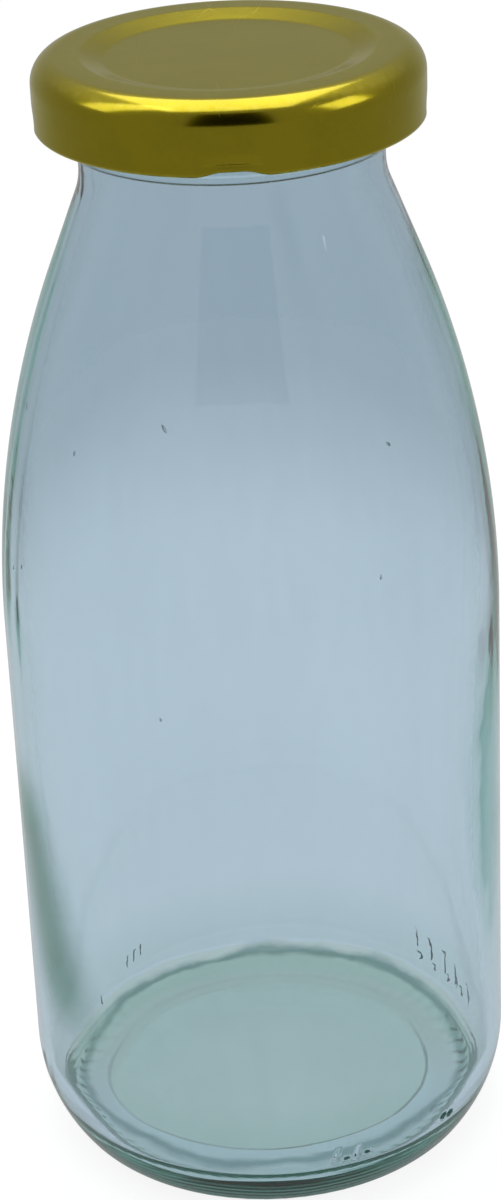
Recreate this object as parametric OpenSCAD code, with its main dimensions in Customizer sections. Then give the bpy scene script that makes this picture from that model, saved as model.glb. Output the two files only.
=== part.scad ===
// Small glass milk bottle with a twist-off lug cap, closed.
// Frame: Z up, origin at the centre of the ring that the bottle stands on.
// The thread has four starts. Turning the cap anticlockwise, seen from above, lifts it off.

/* [Bottle] */
// Height of the glass, from the base to the sealing land
bottle_h = 140.7; // [125:0.1:160]
// Outer diameter of the straight body
body_d = 61; // [57:0.5:70]
// Thickness of the glass in the body, the shoulder and the neck
wall = 2.1; // [1.6:0.1:2.6]
// Thickness of the glass in the middle of the base
base_t = 4.2; // [2.5:0.1:5]
// Width of the rounded heel, from the body to the standing ring
heel_w = 6.9; // [6:0.1:9]
// Height of the rounded heel
heel_h = 12.3; // [10:0.1:16]
// Radius of the heel's tighter curve, next to the standing ring
heel_toe_r = 4.5; // [3:0.1:5.5]
// Radius of the curve inside the base corner
inside_corner_r = 2.5; // [1.5:0.1:4]
// Width of the flat ring that the bottle stands on
stand_ring_w = 2.5; // [1.5:0.1:4]
// Height of the hollow under the base
push_up = 1; // [0.5:0.1:3]

/* [Shoulder] */
// Radius of the long outward curve
shoulder_r = 122; // [100:1:135]
// Slope of the straight stretch, measured from upright
shoulder_slope = 21.85; // [18:0.05:24]
// Radius of the inward curve under the neck
neck_blend_r = 9; // [6:0.5:12]
// Outer diameter of the neck
neck_d = 35.4; // [33:0.1:37.5]
// Straight neck below the bead's middle
neck_h = 3.65; // [3:0.05:8]

/* [Neck finish] */
// Outer diameter of the wall that carries the thread
finish_d = 39; // [38.5:0.1:39.8]
// Radius of the bead's round edge
bead_edge_r = 0.8; // [0.6:0.05:1]
// How far the bead stands out of the threaded wall
bead_stand = 0.2; // [0.1:0.05:0.5]
// Depth of the bead's middle below the sealing land
bead_drop = 8.25; // [8:0.05:8.6]
// Radius of the curve between the bead and the neck
bead_root_r = 0.7; // [0.4:0.1:1]
// Rounding of the two edges of the sealing land
land_edge_r = 0.9; // [0.4:0.1:1.2]

/* [Thread] */
// Number of thread starts, and of lugs
starts = 4; // [3:1:4]
// Diameter of a thread ridge's round section
ridge_d = 1.8; // [1.4:0.1:2]
// How far a ridge stands out of the wall at its middle
ridge_stand = 1.35; // [1:0.05:1.4]
// Angle at which a ridge has sunk into the wall, each side of its middle
ridge_half_angle = 32; // [26:1:36]
// Free play between a lug and a ridge, above and below
thread_play = 0.2; // [0.15:0.01:0.4]

/* [Cap] */
// Outer diameter
cap_d = 45.1; // [44.8:0.1:46]
// Height from the curled edge to the top
cap_h = 8.25; // [7.8:0.05:8.6]
// Thickness of the tinplate
tin = 0.22; // [0.18:0.01:0.3]
// Radius of the top corner
cap_corner_r = 3; // [2:0.1:3.5]
// Diameter of the flat centre panel
panel_d = 28.4; // [26:0.1:29]
// Depth of the centre panel below the rim
panel_drop = 0.8; // [0.4:0.05:0.84]
// Width of the sloping step from the panel up to the rim
panel_step_w = 2.7; // [1.5:0.1:3]
// Outer diameter of the rolled edge's section
curl_d = 1.1; // [0.9:0.05:1.1]
// Opening of the rolled edge, as an angle of its section
curl_gap = 75; // [40:5:90]

/* [Lugs] */
// Thickness
lug_t = 1.1; // [0.9:0.05:1.2]
// Length round the cap, as an angle
lug_angle = 20; // [14:1:22]
// Free play between a lug's tip and the threaded wall
lug_tip_play = 0.65; // [0.4:0.05:0.8]
// Free play between a lug and the bead below it
lug_bead_play = 0.7; // [0.4:0.05:0.9]
// How far a lug lies behind the middle of its ridge when closed, as an angle
lug_lag = 20; // [14:1:24]

/* [Liner] */
// Thickness of the sealing ring
liner_t = 0.84; // [0.84:0.01:1.2]
// Inner diameter of the sealing ring
liner_bore_d = 31.2; // [29:0.1:33]
// Free play round the sealing ring
liner_play = 0.02; // [0.01:0.01:0.05]

/* [Hidden] */
$fn = 96;
// Largest gap between a curve and the straight steps that draw it
curve_error = 0.01;
// How far a ridge's end lies inside the wall
sunk = 0.1;
// How far a lug reaches into the middle of the skirt's tinplate
lug_bite = tin / 2;
// Further than any cut has to reach
past = 1;
// The lug that faces the front
front_lug = -90;

body_r = body_d / 2;
neck_r = neck_d / 2;
finish_r = finish_d / 2;
cap_r = cap_d / 2;
panel_r = panel_d / 2;
curl_r = curl_d / 2;

bead_z = bottle_h - bead_drop;
bead_r = finish_r + bead_stand;
neck_z = bead_z - neck_h;

land_z = bottle_h;
cap_top = land_z + liner_play + liner_t + liner_play + tin;
cap_bottom = cap_top - cap_h;
panel_z = cap_top - panel_drop;

// One turn's lift. The starts share it, and a lug fits between two of their ridges.
lead = starts * (lug_t + ridge_d + 2 * thread_play);
ridge_r = finish_r + ridge_stand - ridge_d / 2;
lug_tip_r = finish_r + lug_tip_play;
lug_tilt = slope(lug_tip_r);
lug_z = bead_z + bead_edge_r + lug_bead_play + lug_t / 2 + lead * lug_angle / 720;
ridge_z = lug_z + lug_t / 2 + thread_play + ridge_d / 2 + lead * lug_lag / 360;

// Rise of the thread at radius r, as an angle
function slope(r) = asin(lead / (360 * r * PI / 180));

// Points along an arc round c, from angle a to angle b
function arc(c, r, a, b) =
    let (step = 2 * acos(1 - curve_error / r), n = max(2, ceil(abs(b - a) / step)))
    [for (i = [0:n]) let (t = a + (b - a) * i / n) c + r * [cos(t), sin(t)]];

// The heel: a tight curve at the standing ring runs into a wide one at the body.
heel_r = (heel_w ^ 2 + (heel_h - heel_toe_r) ^ 2 - heel_toe_r ^ 2) / (2 * (heel_w - heel_toe_r));
heel_c = [body_r - heel_r, heel_h];
toe_c = [body_r - heel_w, heel_toe_r];
heel_turn = atan2(toe_c.y - heel_c.y, toe_c.x - heel_c.x);
heel = concat(arc(toe_c, heel_toe_r, -90, heel_turn), arc(heel_c, heel_r, heel_turn, 0));

// The hollow under the base is part of a sphere.
stand_r = toe_c.x - stand_ring_w;
dome_r = (stand_r ^ 2 + push_up ^ 2) / (2 * push_up);
dome_c = [0, push_up - dome_r];
dome_turn = asin(stand_r / dome_r);
dome = arc(dome_c, dome_r, 90, 90 - dome_turn);

// Both sides of the shoulder turn about the same two centres, a wall apart.
neck_c = [neck_r + neck_blend_r, neck_z];
slope_w = body_r - neck_r - (shoulder_r + neck_blend_r) * (1 - cos(shoulder_slope));
slope_h = slope_w / tan(shoulder_slope);
shoulder_h = (shoulder_r + neck_blend_r) * sin(shoulder_slope) + slope_h;
shoulder_c = [body_r - shoulder_r, neck_z - shoulder_h];
function shoulder(inset) = concat(
    arc(shoulder_c, shoulder_r - inset, 0, shoulder_slope),
    arc(neck_c, neck_blend_r + inset, 180 + shoulder_slope, 180));

// The bead, from the neck up to the threaded wall
bead_c = [bead_r - bead_edge_r, bead_z];
bead_root_c = [neck_r + bead_root_r, bead_z - bead_edge_r - bead_root_r];
bead_end = acos((finish_r - bead_c.x) / bead_edge_r);
bead = concat(arc(bead_root_c, bead_root_r, 180, 90), arc(bead_c, bead_edge_r, -90, bead_end));

// The sealing land, from the threaded wall over to the bore
bore_r = neck_r - wall;
land = concat(
    arc([finish_r - land_edge_r, land_z - land_edge_r], land_edge_r, 0, 90),
    arc([bore_r + land_edge_r, land_z - land_edge_r], land_edge_r, 90, 180));

// Inside, the glass keeps the wall's thickness down the heel, and a tight curve leads to the
// flat floor.
floor_z = push_up + base_t;
inner_heel_r = heel_r - wall;
corner_z = floor_z + inside_corner_r;
corner_x = heel_c.x + sqrt((inner_heel_r - inside_corner_r) ^ 2 - (heel_h - corner_z) ^ 2);
corner_turn = atan2(corner_z - heel_h, corner_x - heel_c.x);
inside = concat(
    arc(heel_c, inner_heel_r, 0, corner_turn),
    arc([corner_x, corner_z], inside_corner_r, corner_turn, -90),
    [[0, floor_z]]);

function backwards(list) = [for (i = [len(list) - 1:-1:0]) list[i]];

module glass_section() {
    polygon(concat(dome, heel, shoulder(0), bead, land, backwards(shoulder(wall)), inside));
}

// A ridge is part of a ring that is smaller than the neck, so both its ends sink into the wall.
ridge_end_r = finish_r - ridge_d / 2 - sunk;
ridge_shift = (ridge_r ^ 2 - ridge_end_r ^ 2) / (2 * (ridge_r - ridge_end_r * cos(ridge_half_angle)));
ridge_ring_r = ridge_r - ridge_shift;
ridge_turn = atan2(ridge_end_r * sin(ridge_half_angle),
                   ridge_end_r * cos(ridge_half_angle) - ridge_shift);

module ridge() {
    translate([ridge_shift, 0, ridge_z])
        rotate([slope(ridge_r), 0, 0])
            rotate([0, 0, -ridge_turn])
                rotate_extrude(angle = 2 * ridge_turn)
                    translate([ridge_ring_r, 0])
                        circle(d = ridge_d);
}

module glass_bottle() {
    color([0.70, 0.80, 0.85, 0.5]) {
        rotate_extrude() glass_section();
        for (i = [0:starts - 1])
            rotate([0, 0, front_lug + lug_lag + i * 360 / starts]) ridge();
    }
}

// The closed space under a round cap with the given side, top and corner
module cap_space(inset) {
    side = cap_r - inset;
    top = cap_top - inset;
    corner = cap_corner_r - inset;
    translate([0, cap_bottom + curl_r]) {
        square([side, top - corner - cap_bottom - curl_r]);
        square([side - corner, top - cap_bottom - curl_r]);
    }
    translate([side - corner, top - corner]) circle(r = corner);
}

// The space above the centre panel and its sloping step, or that space grown downwards by a drop
module panel_space(drop) {
    step_angle = atan(panel_drop / panel_step_w);
    edge = panel_r + drop * tan(step_angle / 2);
    rise = panel_drop + past;
    polygon([[0, panel_z - drop], [edge, panel_z - drop],
             [edge + rise / tan(step_angle), panel_z - drop + rise], [0, panel_z - drop + rise]]);
}

// The rolled edge: tinplate bent inwards into an open ring
module curl_section() {
    reach = curl_d;
    translate([cap_r - curl_r, cap_bottom + curl_r])
        difference() {
            circle(r = curl_r);
            circle(r = curl_r - tin);
            polygon([[0, 0], [reach, 0], [reach, reach], reach * [cos(curl_gap), sin(curl_gap)]]);
        }
}

module cap_section() {
    difference() {
        cap_space(0);
        difference() {
            cap_space(tin);
            panel_space(tin);
        }
        panel_space(0);
    }
    curl_section();
}

// A lug follows the thread's rise and has a round tip.
module lug() {
    tip = lug_tip_r + lug_t / 2;
    translate([0, 0, lug_z])
        rotate([lug_tilt, 0, 0])
            rotate([0, 0, -lug_angle / 2])
                rotate_extrude(angle = lug_angle) {
                    translate([tip, 0]) circle(d = lug_t);
                    translate([tip, -lug_t / 2]) square([cap_r - lug_bite - tip, lug_t]);
                }
}

module cap_shell() {
    color([0.58, 0.52, 0.12]) {
        rotate_extrude() cap_section();
        for (i = [0:starts - 1])
            rotate([0, 0, front_lug + i * 360 / starts]) lug();
    }
}

// The ring fills the channel between the step and the skirt, above the sealing land.
module cap_liner() {
    color([0.86, 0.85, 0.80])
        rotate_extrude()
            difference() {
                intersection() {
                    cap_space(tin + liner_play);
                    translate([liner_bore_d / 2, land_z + liner_play]) square([cap_r, liner_t]);
                }
                panel_space(tin + liner_play);
            }
}

glass_bottle();
cap_shell();
cap_liner();
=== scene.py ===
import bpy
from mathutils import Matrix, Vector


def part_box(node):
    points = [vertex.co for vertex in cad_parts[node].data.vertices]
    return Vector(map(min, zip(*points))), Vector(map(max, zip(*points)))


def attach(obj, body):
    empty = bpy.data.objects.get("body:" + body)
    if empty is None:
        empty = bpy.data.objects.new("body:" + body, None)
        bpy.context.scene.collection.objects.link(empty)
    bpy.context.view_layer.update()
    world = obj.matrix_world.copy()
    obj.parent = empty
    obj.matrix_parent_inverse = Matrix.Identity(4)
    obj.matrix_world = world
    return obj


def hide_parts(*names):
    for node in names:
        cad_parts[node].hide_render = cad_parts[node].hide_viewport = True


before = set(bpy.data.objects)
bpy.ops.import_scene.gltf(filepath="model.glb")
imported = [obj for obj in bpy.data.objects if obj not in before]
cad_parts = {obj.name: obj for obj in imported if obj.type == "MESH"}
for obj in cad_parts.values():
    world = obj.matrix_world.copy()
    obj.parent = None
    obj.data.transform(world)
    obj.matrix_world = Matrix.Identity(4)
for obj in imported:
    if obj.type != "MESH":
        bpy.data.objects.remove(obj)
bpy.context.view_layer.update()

import math

import bmesh
import bpy
import numpy as np
from bpy.props import FloatProperty, FloatVectorProperty, IntProperty, PointerProperty
from mathutils import Matrix, Vector

bl_info = {
    "name": "Milk Bottle",
    "version": (1, 0, 0),
    "blender": (4, 5, 0),
    "location": "View3D > Sidebar > Milk Bottle",
    "description": "Builds a small glass milk bottle with a twist-off lug cap",
    "category": "Object",
}

MM = 0.001
GLASS_LOW, GLASS_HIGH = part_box("glass_bottle")
CAP_LOW, CAP_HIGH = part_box("cap_shell")
SEAL_LOW, SEAL_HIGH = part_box("cap_liner")
FRONT = -90.0  # degrees round the bottle, where 0 is +X
LEAD = 13.2  # millimetres that the thread lifts the cap in one turn


# ---------------------------------------------------------------- settings


def length(name, description, default):
    """A size, given here in millimetres and kept in metres."""
    return FloatProperty(
        name=name,
        description=description,
        default=default * MM,
        min=0.0,
        unit="LENGTH",
        subtype="DISTANCE",
        precision=4,
    )


def turn(name, description, default):
    return FloatProperty(
        name=name,
        description=description,
        default=math.radians(default),
        unit="ROTATION",
        subtype="ANGLE",
    )


def colour(name, description, default):
    return FloatVectorProperty(
        name=name,
        description=description,
        default=default,
        size=3,
        min=0.0,
        max=1.0,
        subtype="COLOR",
    )


def factor(name, description, default):
    return FloatProperty(
        name=name,
        description=description,
        default=default,
        min=0.0,
        max=1.0,
        subtype="FACTOR",
    )


class MilkBottleGlass(bpy.types.PropertyGroup):
    """Sizes and colours of the glass bottle"""

    bottle_h: length("Height", "From the base to the sealing land", GLASS_HIGH.z / MM)
    body_d: length("Body diameter", "Outside the straight body", (GLASS_HIGH.x - GLASS_LOW.x) / MM)
    wall: length("Wall", "Glass in the body and the neck", 2.1)
    base_t: length("Base", "Glass in the base", 4.2)
    heel_w: length("Heel width", "From the body to the standing ring", 6.9)
    heel_h: length("Heel height", "Height of the rounded heel", 12.3)
    heel_toe_r: length("Heel toe radius", "Tighter curve next to the standing ring", 4.5)
    inside_corner_r: length("Inside corner", "Tight curve from the floor to the heel", 2.5)
    stand_ring_w: length("Standing ring", "Width of the flat ring", 2.5)
    push_up: length("Push-up", "Height of the hollow under the base", 1)
    shoulder_r: length("Shoulder radius", "The long outward curve", 122)
    shoulder_slope: turn("Shoulder slope", "Straight stretch, from upright", 21.85)
    neck_blend_r: length("Neck blend", "Inward curve under the neck", 9)
    neck_d: length("Neck diameter", "Outside the neck", 35.4)
    neck_h: length("Neck height", "Straight neck below the bead's middle", 3.65)
    finish_d: length("Finish diameter", "The wall that carries the thread", 39)
    bead_edge_r: length("Bead edge", "Radius of the bead's round edge", 0.8)
    bead_stand: length("Bead stand", "How far the bead stands out", 0.2)
    bead_drop: length("Bead drop", "From the sealing land to the bead's middle", 8.25)
    bead_root_r: length("Bead root", "Curve between the bead and the neck", 0.7)
    land_edge_r: length("Land edge", "Rounding of the sealing land", 0.9)
    starts: IntProperty(name="Thread starts", description="Ridges round the finish", default=4)
    ridge_d: length("Ridge diameter", "A ridge's round section", 1.8)
    ridge_stand: length("Ridge stand", "How far a ridge stands out", 1.35)
    ridge_half: turn("Ridge half angle", "Where a ridge has sunk into the wall", 32)
    ridge_lag: turn("Ridge lag", "From a closed lug to its ridge's middle", 20)
    ridge_z: length("Ridge height", "Middle of a ridge, from the base", 137.253)
    lead: length("Lead", "Lift in one turn", LEAD)
    ridge_fillet: length("Ridge fillet", "Softened foot of a ridge", 0.3)
    seam: length("Mould seam", "How far the two mould seams stand", 0.05)
    outer_wave: length("Outer waviness", "Unevenness of the outside", 0.05)
    inner_wave: length("Inner waviness", "Unevenness of the inside", 0.28)
    thick_patch: length("Thick patch", "Extra glass low on the sides", 0.35)
    settle_depth: length("Settle mark", "Dip of the wavy mark round the inside floor", 0.3)
    ring_depth: length("Floor ring", "Depth of the fine ring on the inside floor", 0.12)
    knurl_count: IntProperty(name="Knurls", description="Ticks on the standing ring", default=68)
    knurl_depth: length("Knurl depth", "Hollow between two ticks", 0.10)
    mark_stand: length("Mark height", "How far the marks on the heel stand out", 0.26)
    ring_r: length("Floor ring radius", "The fine ring on the inside floor", 20.6)
    settle_r: length("Settle mark radius", "The wavy mark round the inside floor", 24.9)
    # The settle mark width sets the width of the painted shadow band along the settle groove.
    settle_shadow_w: length("Settle mark width", "From its middle to its edge", 1.1)
    wall_tint: colour("Wall tint", "Colour of the body and neck", (0.530, 0.610, 0.735))
    floor_tint: colour("Floor tint", "Colour of the inside floor", (0.86, 0.91, 0.72))
    # The settle tint is painted shadow: it darkens a band along the settle mark for the shadow
    # round the heel seen through the glass.
    settle_shadow_tint: colour("Settle tint", "Darkening where the glass has settled", (0.22, 0.34, 0.33))
    patch_tint: colour("Patch tint", "Colour of the thick patches", (0.08, 0.26, 0.16))
    # The low wall tint is painted shade: it darkens the inside wall just above the floor for the
    # floor's shadow seen through the glass.
    low_wall_shade: colour("Low wall tint", "Inside the wall, just above the floor", (0.77, 0.85, 0.79))
    heel_tint: colour("Heel tint", "Round the standing ring", (0.80, 1.0, 0.90))
    absorb: colour("Deep colour", "Colour that thick glass turns to", (0.22, 0.64, 0.52))
    polish: factor("Polish", "Roughness of the clear glass", 0.012)
    stipple: factor("Stipple", "Roughness of the standing ring", 0.14)
    density: FloatProperty(
        name="Depth of colour", description="Absorption in each metre of glass", default=52.0
    )


class MilkBottleCap(bpy.types.PropertyGroup):
    """Sizes and colours of the tinplate cap"""

    cap_d: length("Diameter", "Outside the skirt", (CAP_HIGH.x - CAP_LOW.x) / MM)
    cap_top: length("Top", "Height of the rim above the base", CAP_HIGH.z / MM)
    cap_bottom: length("Edge", "Height of the rolled edge above the base", CAP_LOW.z / MM)
    tin: length("Tinplate", "Thickness of the sheet", 0.22)
    corner_r: length("Corner", "Radius of the top corner", 3)
    panel_d: length("Panel", "Diameter of the flat centre panel", 28.4)
    panel_drop: length("Panel drop", "Depth of the centre panel", 0.8)
    step_w: length("Step", "Width of the slope up to the rim", 2.7)
    foot_r: length("Foot curve", "Curve between the panel and the slope", 2.2)
    crest_r: length("Crest curve", "Curve between the slope and the rim", 1.4)
    curl_d: length("Curl", "Outer diameter of the rolled edge", 1.1)
    curl_gap: turn("Curl opening", "Opening of the rolled edge", 75)
    lugs: IntProperty(name="Lugs", description="Lugs round the cap", default=4)
    lug_angle: turn("Lug length", "Length of a lug round the cap", 20)
    lug_reach: length("Lug reach", "How far a lug is pressed inwards", 1.3)
    lug_lift: length("Lug lift", "How far a lug's tip is pressed up", 0.72)
    lug_dent: length("Lug dent", "Hollow outside a lug", 0.22)
    lug_ride: length("Lug ride", "From the skirt to where a lug meets its ridge", 2.4)
    lead: length("Lead", "Lift in one turn", LEAD)
    gold: colour("Gold lacquer", "Colour of the outside", (0.285, 0.234, 0.006))
    gold_worn: colour("Worn gold", "Where the lacquer is rubbed", (0.52, 0.46, 0.10))
    inside: colour("Inside lacquer", "Colour of the inside", (0.50, 0.38, 0.13))
    gold_rough: factor("Gold roughness", "Roughness of the gold lacquer", 0.18)
    gold_coat: factor("Gold coat", "Clear coat over the gold lacquer", 0.2)
    inside_rough: factor("Inside roughness", "Roughness of the inside lacquer", 0.34)


class MilkBottleSeal(bpy.types.PropertyGroup):
    """Sizes and colours of the sealing ring inside the cap"""

    bore_d: length("Bore", "Inner diameter of the ring", 31.2)
    bulge: length("Bulge", "How far the ring hangs beside the glass", 0.7)
    compound: colour("Compound", "Colour of the ring", (0.80, 0.78, 0.70))


class MilkBottleStage(bpy.types.PropertyGroup):
    """The floor, the lamps and the camera"""

    floor_r: length("Floor radius", "Round pale floor", 290)
    pale_r: length("Pale pool", "Where the floor starts to darken behind glass", 165)
    floor_tone: colour("Floor", "Colour of the floor", (0.80, 0.80, 0.80))
    room_tone: colour("Room", "What clear glass shows beyond the floor", (0.62, 0.655, 0.675))
    camera_height: length("Camera height", "Above the floor", 236.06)
    camera_back: length("Camera distance", "In front of the bottle's axis", 334.4)
    camera_pitch: turn("Camera pitch", "Below the horizon", 26.13)
    camera_roll: turn("Camera roll", "Turn about the line of sight", -2.524)
    camera_lens: FloatProperty(
        name="Lens", description="Focal length in millimetres", default=90.66
    )


GROUPS = {
    "milk_bottle_glass": MilkBottleGlass,
    "milk_bottle_cap": MilkBottleCap,
    "milk_bottle_seal": MilkBottleSeal,
    "milk_bottle_stage": MilkBottleStage,
}


class Sizes:
    """A group's values: lengths in millimetres, angles in degrees."""

    def __init__(self, group):
        for key, prop in group.bl_rna.properties.items():
            if key in ("rna_type", "name"):
                continue
            value = getattr(group, key)
            if prop.type == "FLOAT" and prop.unit == "LENGTH":
                value = value / MM
            elif prop.type == "FLOAT" and prop.unit == "ROTATION":
                value = math.degrees(value)
            elif prop.type == "FLOAT" and prop.is_array:
                value = tuple(value)
            setattr(self, key, value)


# ---------------------------------------------------------------- outlines


def arc(cx, cz, r, start, end, step):
    """Points on an arc from start to end in degrees, no further apart than step."""
    n = max(2, math.ceil(abs(math.radians(end - start)) * r / step))
    angles = np.radians(np.linspace(start, end, n + 1))
    return [(cx + r * math.cos(a), cz + r * math.sin(a)) for a in angles]


def line(a, b, step):
    """Points from a to b, no further apart than step, without a."""
    n = max(1, math.ceil(math.dist(a, b) / step))
    return [
        (a[0] + (b[0] - a[0]) * i / n, a[1] + (b[1] - a[1]) * i / n) for i in range(1, n + 1)
    ]


def smooth(x, low, high):
    """0 below low, 1 above high, and a soft step between."""
    t = np.clip((x - low) / (high - low), 0, 1)
    return t * t * (3 - 2 * t)


def window(x, low, high, soft):
    """1 between low and high, fading over soft on both sides."""
    return smooth(x, low - soft, low) * (1 - smooth(x, high, high + soft))


def wrap(degrees):
    return (np.asarray(degrees) + 180) % 360 - 180


def lathe(rows, count, shape=None, closed=False):
    """Rings of points joined by faces. A row is (r, z, share, tag), where share times count is
    its number of points, and r = 0 closes the end. shape(r, z, degrees, tag) bends a ring."""
    points, faces, tags, rings = [], [], [], []
    for r, z, share, tag in rows:
        if r == 0:
            rings.append([len(points)])
            points.append((0.0, 0.0, z))
            continue
        n = int(count * share)
        angles = np.arange(n) * 360.0 / n
        rr, zz = np.full(n, float(r)), np.full(n, float(z))
        if shape:
            rr, zz = shape(rr, zz, angles, tag)
        a = np.radians(angles)
        rings.append(list(range(len(points), len(points) + n)))
        points.extend(zip(rr * np.cos(a), rr * np.sin(a), zz))
    pairs = list(zip(range(len(rings) - 1), range(1, len(rings))))
    if closed:
        pairs.append((len(rings) - 1, 0))
    for i, j in pairs:
        low, high = rings[i], rings[j]
        n = max(len(low), len(high))
        for k in range(min(len(low), len(high)) if min(len(low), len(high)) > 1 else n):
            if len(low) == 1:
                face = [low[0], high[(k + 1) % n], high[k]]
            elif len(high) == 1:
                face = [low[k], low[(k + 1) % n], high[0]]
            elif len(low) == len(high):
                face = [low[k], low[(k + 1) % n], high[(k + 1) % n], high[k]]
            elif len(high) == 2 * len(low):
                face = [low[k], low[(k + 1) % len(low)]]
                face += [high[(2 * k + m) % n] for m in (2, 1, 0)]
            elif len(low) == 2 * len(high):
                face = [low[(2 * k + m) % n] for m in (0, 1, 2)]
                face += [high[(k + 1) % len(high)], high[k]]
            else:
                raise ValueError("neighbouring rings differ by more than twice")
            faces.append(face)
            tags.append(rows[i][3] if rows[i][3] == rows[j][3] else rows[max(i, j)][3])
    return np.array(points), faces, tags


def make_object(name, points, faces, materials, slots=None, fields=None):
    """A smooth mesh object in metres, from points in millimetres."""
    mesh = bpy.data.meshes.new(name)
    mesh.from_pydata([tuple(p) for p in np.asarray(points) * MM], [], faces)
    if mesh.validate():
        raise RuntimeError(f"{name} has faces that had to be mended")
    for material in materials:
        mesh.materials.append(material)
    if slots is not None:
        mesh.polygons.foreach_set("material_index", slots)
    for key, values in (fields or {}).items():
        mesh.attributes.new(key, "FLOAT", "POINT").data.foreach_set("value", values)
    mesh.shade_smooth()
    mesh.update()
    obj = bpy.data.objects.new(name, mesh)
    bpy.context.scene.collection.objects.link(obj)
    return obj


# ---------------------------------------------------------------- node helpers


def add(tree, kind, inputs=None, **settings):
    """A node with its settings and inputs. A socket given as an input is linked."""
    node = tree.nodes.new(kind)
    for key, value in settings.items():
        setattr(node, key, value)
    for key, value in (inputs or {}).items():
        if isinstance(value, bpy.types.NodeSocket):
            tree.links.new(value, node.inputs[key])
        else:
            node.inputs[key].default_value = value
    return node


def maths(tree, operation, a, b=0.0, clamp=False):
    return add(
        tree, "ShaderNodeMath", {0: a, 1: b}, operation=operation, use_clamp=clamp
    ).outputs[0]


def product(tree, *values):
    """All the values multiplied together, from the first."""
    result = values[0]
    for value in values[1:]:
        result = maths(tree, "MULTIPLY", result, value)
    return result


def total(tree, a, b):
    return maths(tree, "ADD", a, b)


def rest_of(tree, value):
    """1 less the value."""
    return maths(tree, "SUBTRACT", 1.0, value)


def mix_colours(tree, share, a, b, blend="MIX"):
    node = tree.nodes.new("ShaderNodeMix")
    node.data_type, node.blend_type = "RGBA", blend
    for key, value in ((0, share), (6, a), (7, b)):
        if isinstance(value, bpy.types.NodeSocket):
            tree.links.new(value, node.inputs[key])
        elif key == 0:
            node.inputs[key].default_value = value
        else:
            node.inputs[key].default_value = (*value[:3], 1)
    return node.outputs[2]


def step_between(tree, value, low, high):
    """0 below low and 1 above high, as a soft step."""
    node = add(
        tree,
        "ShaderNodeMapRange",
        {"Value": value, "From Min": low, "From Max": high},
        interpolation_type="SMOOTHSTEP",
    )
    return node.outputs["Result"]


def noise(tree, place, scale, detail=2.0, rough=0.5, twist=0.0):
    return add(
        tree,
        "ShaderNodeTexNoise",
        {
            "Vector": place,
            "Scale": scale,
            "Detail": detail,
            "Roughness": rough,
            "Distortion": twist,
        },
    ).outputs["Fac"]


def far_from(tree, place, centre):
    """How far a point is from an upright line, given in millimetres."""
    level = add(
        tree,
        "ShaderNodeVectorMath",
        {0: place, 1: (centre[0] * MM, centre[1] * MM, 0)},
        operation="SUBTRACT",
    ).outputs["Vector"]
    level = add(
        tree, "ShaderNodeVectorMath", {0: level, 1: (1, 1, 0)}, operation="MULTIPLY"
    ).outputs["Vector"]
    return add(tree, "ShaderNodeVectorMath", {0: level}, operation="LENGTH").outputs["Value"]


def band(tree, value, middle, half, soft):
    """1 within half of the middle, fading over soft."""
    away = maths(tree, "ABSOLUTE", maths(tree, "SUBTRACT", value, middle))
    return rest_of(tree, step_between(tree, away, half, half + soft))


def times(tree, colour_in, share, tint):
    """The colour, multiplied by a tint as far as share goes."""
    return mix_colours(tree, share, colour_in, tint, "MULTIPLY")


def new_group(name, ins, outs):
    """A shader node group with its two end nodes. ins and outs are (name, kind, default)."""
    tree = bpy.data.node_groups.new(name, "ShaderNodeTree")
    for direction, sockets in (("INPUT", ins), ("OUTPUT", outs)):
        for label, kind, default in sockets:
            socket = tree.interface.new_socket(label, in_out=direction, socket_type=kind)
            if default is not None:
                socket.default_value = default
    return tree, tree.nodes.new("NodeGroupInput"), tree.nodes.new("NodeGroupOutput")


FLOAT, COLOUR, VECTOR = "NodeSocketFloat", "NodeSocketColor", "NodeSocketVector"


def mottle_group():
    """Slow changes of colour over a surface, with the mask that made them."""
    name = "Mottled finish"
    if name in bpy.data.node_groups:
        return bpy.data.node_groups[name]
    tree, inp, out = new_group(
        name,
        [
            ("Place", VECTOR, None),
            ("Colour", COLOUR, (0.5, 0.5, 0.5, 1)),
            ("Second colour", COLOUR, (0.4, 0.4, 0.4, 1)),
            ("Scale", FLOAT, 100.0),
            ("Amount", FLOAT, 1.0),
        ],
        [("Colour", COLOUR, None), ("Mask", FLOAT, None)],
    )
    place, scale = inp.outputs["Place"], inp.outputs["Scale"]
    slow = noise(tree, place, scale, 3.0, 0.55, 0.4)
    fine = noise(tree, place, product(tree, scale, 9.0), 2.0)
    both = total(tree, product(tree, slow, 0.75), product(tree, fine, 0.25))
    patches = step_between(tree, both, 0.38, 0.64)
    mask = maths(tree, "MULTIPLY", patches, inp.outputs["Amount"], True)
    tree.links.new(
        mix_colours(tree, mask, inp.outputs["Colour"], inp.outputs["Second colour"]),
        out.inputs["Colour"],
    )
    tree.links.new(mask, out.inputs["Mask"])
    return tree


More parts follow.
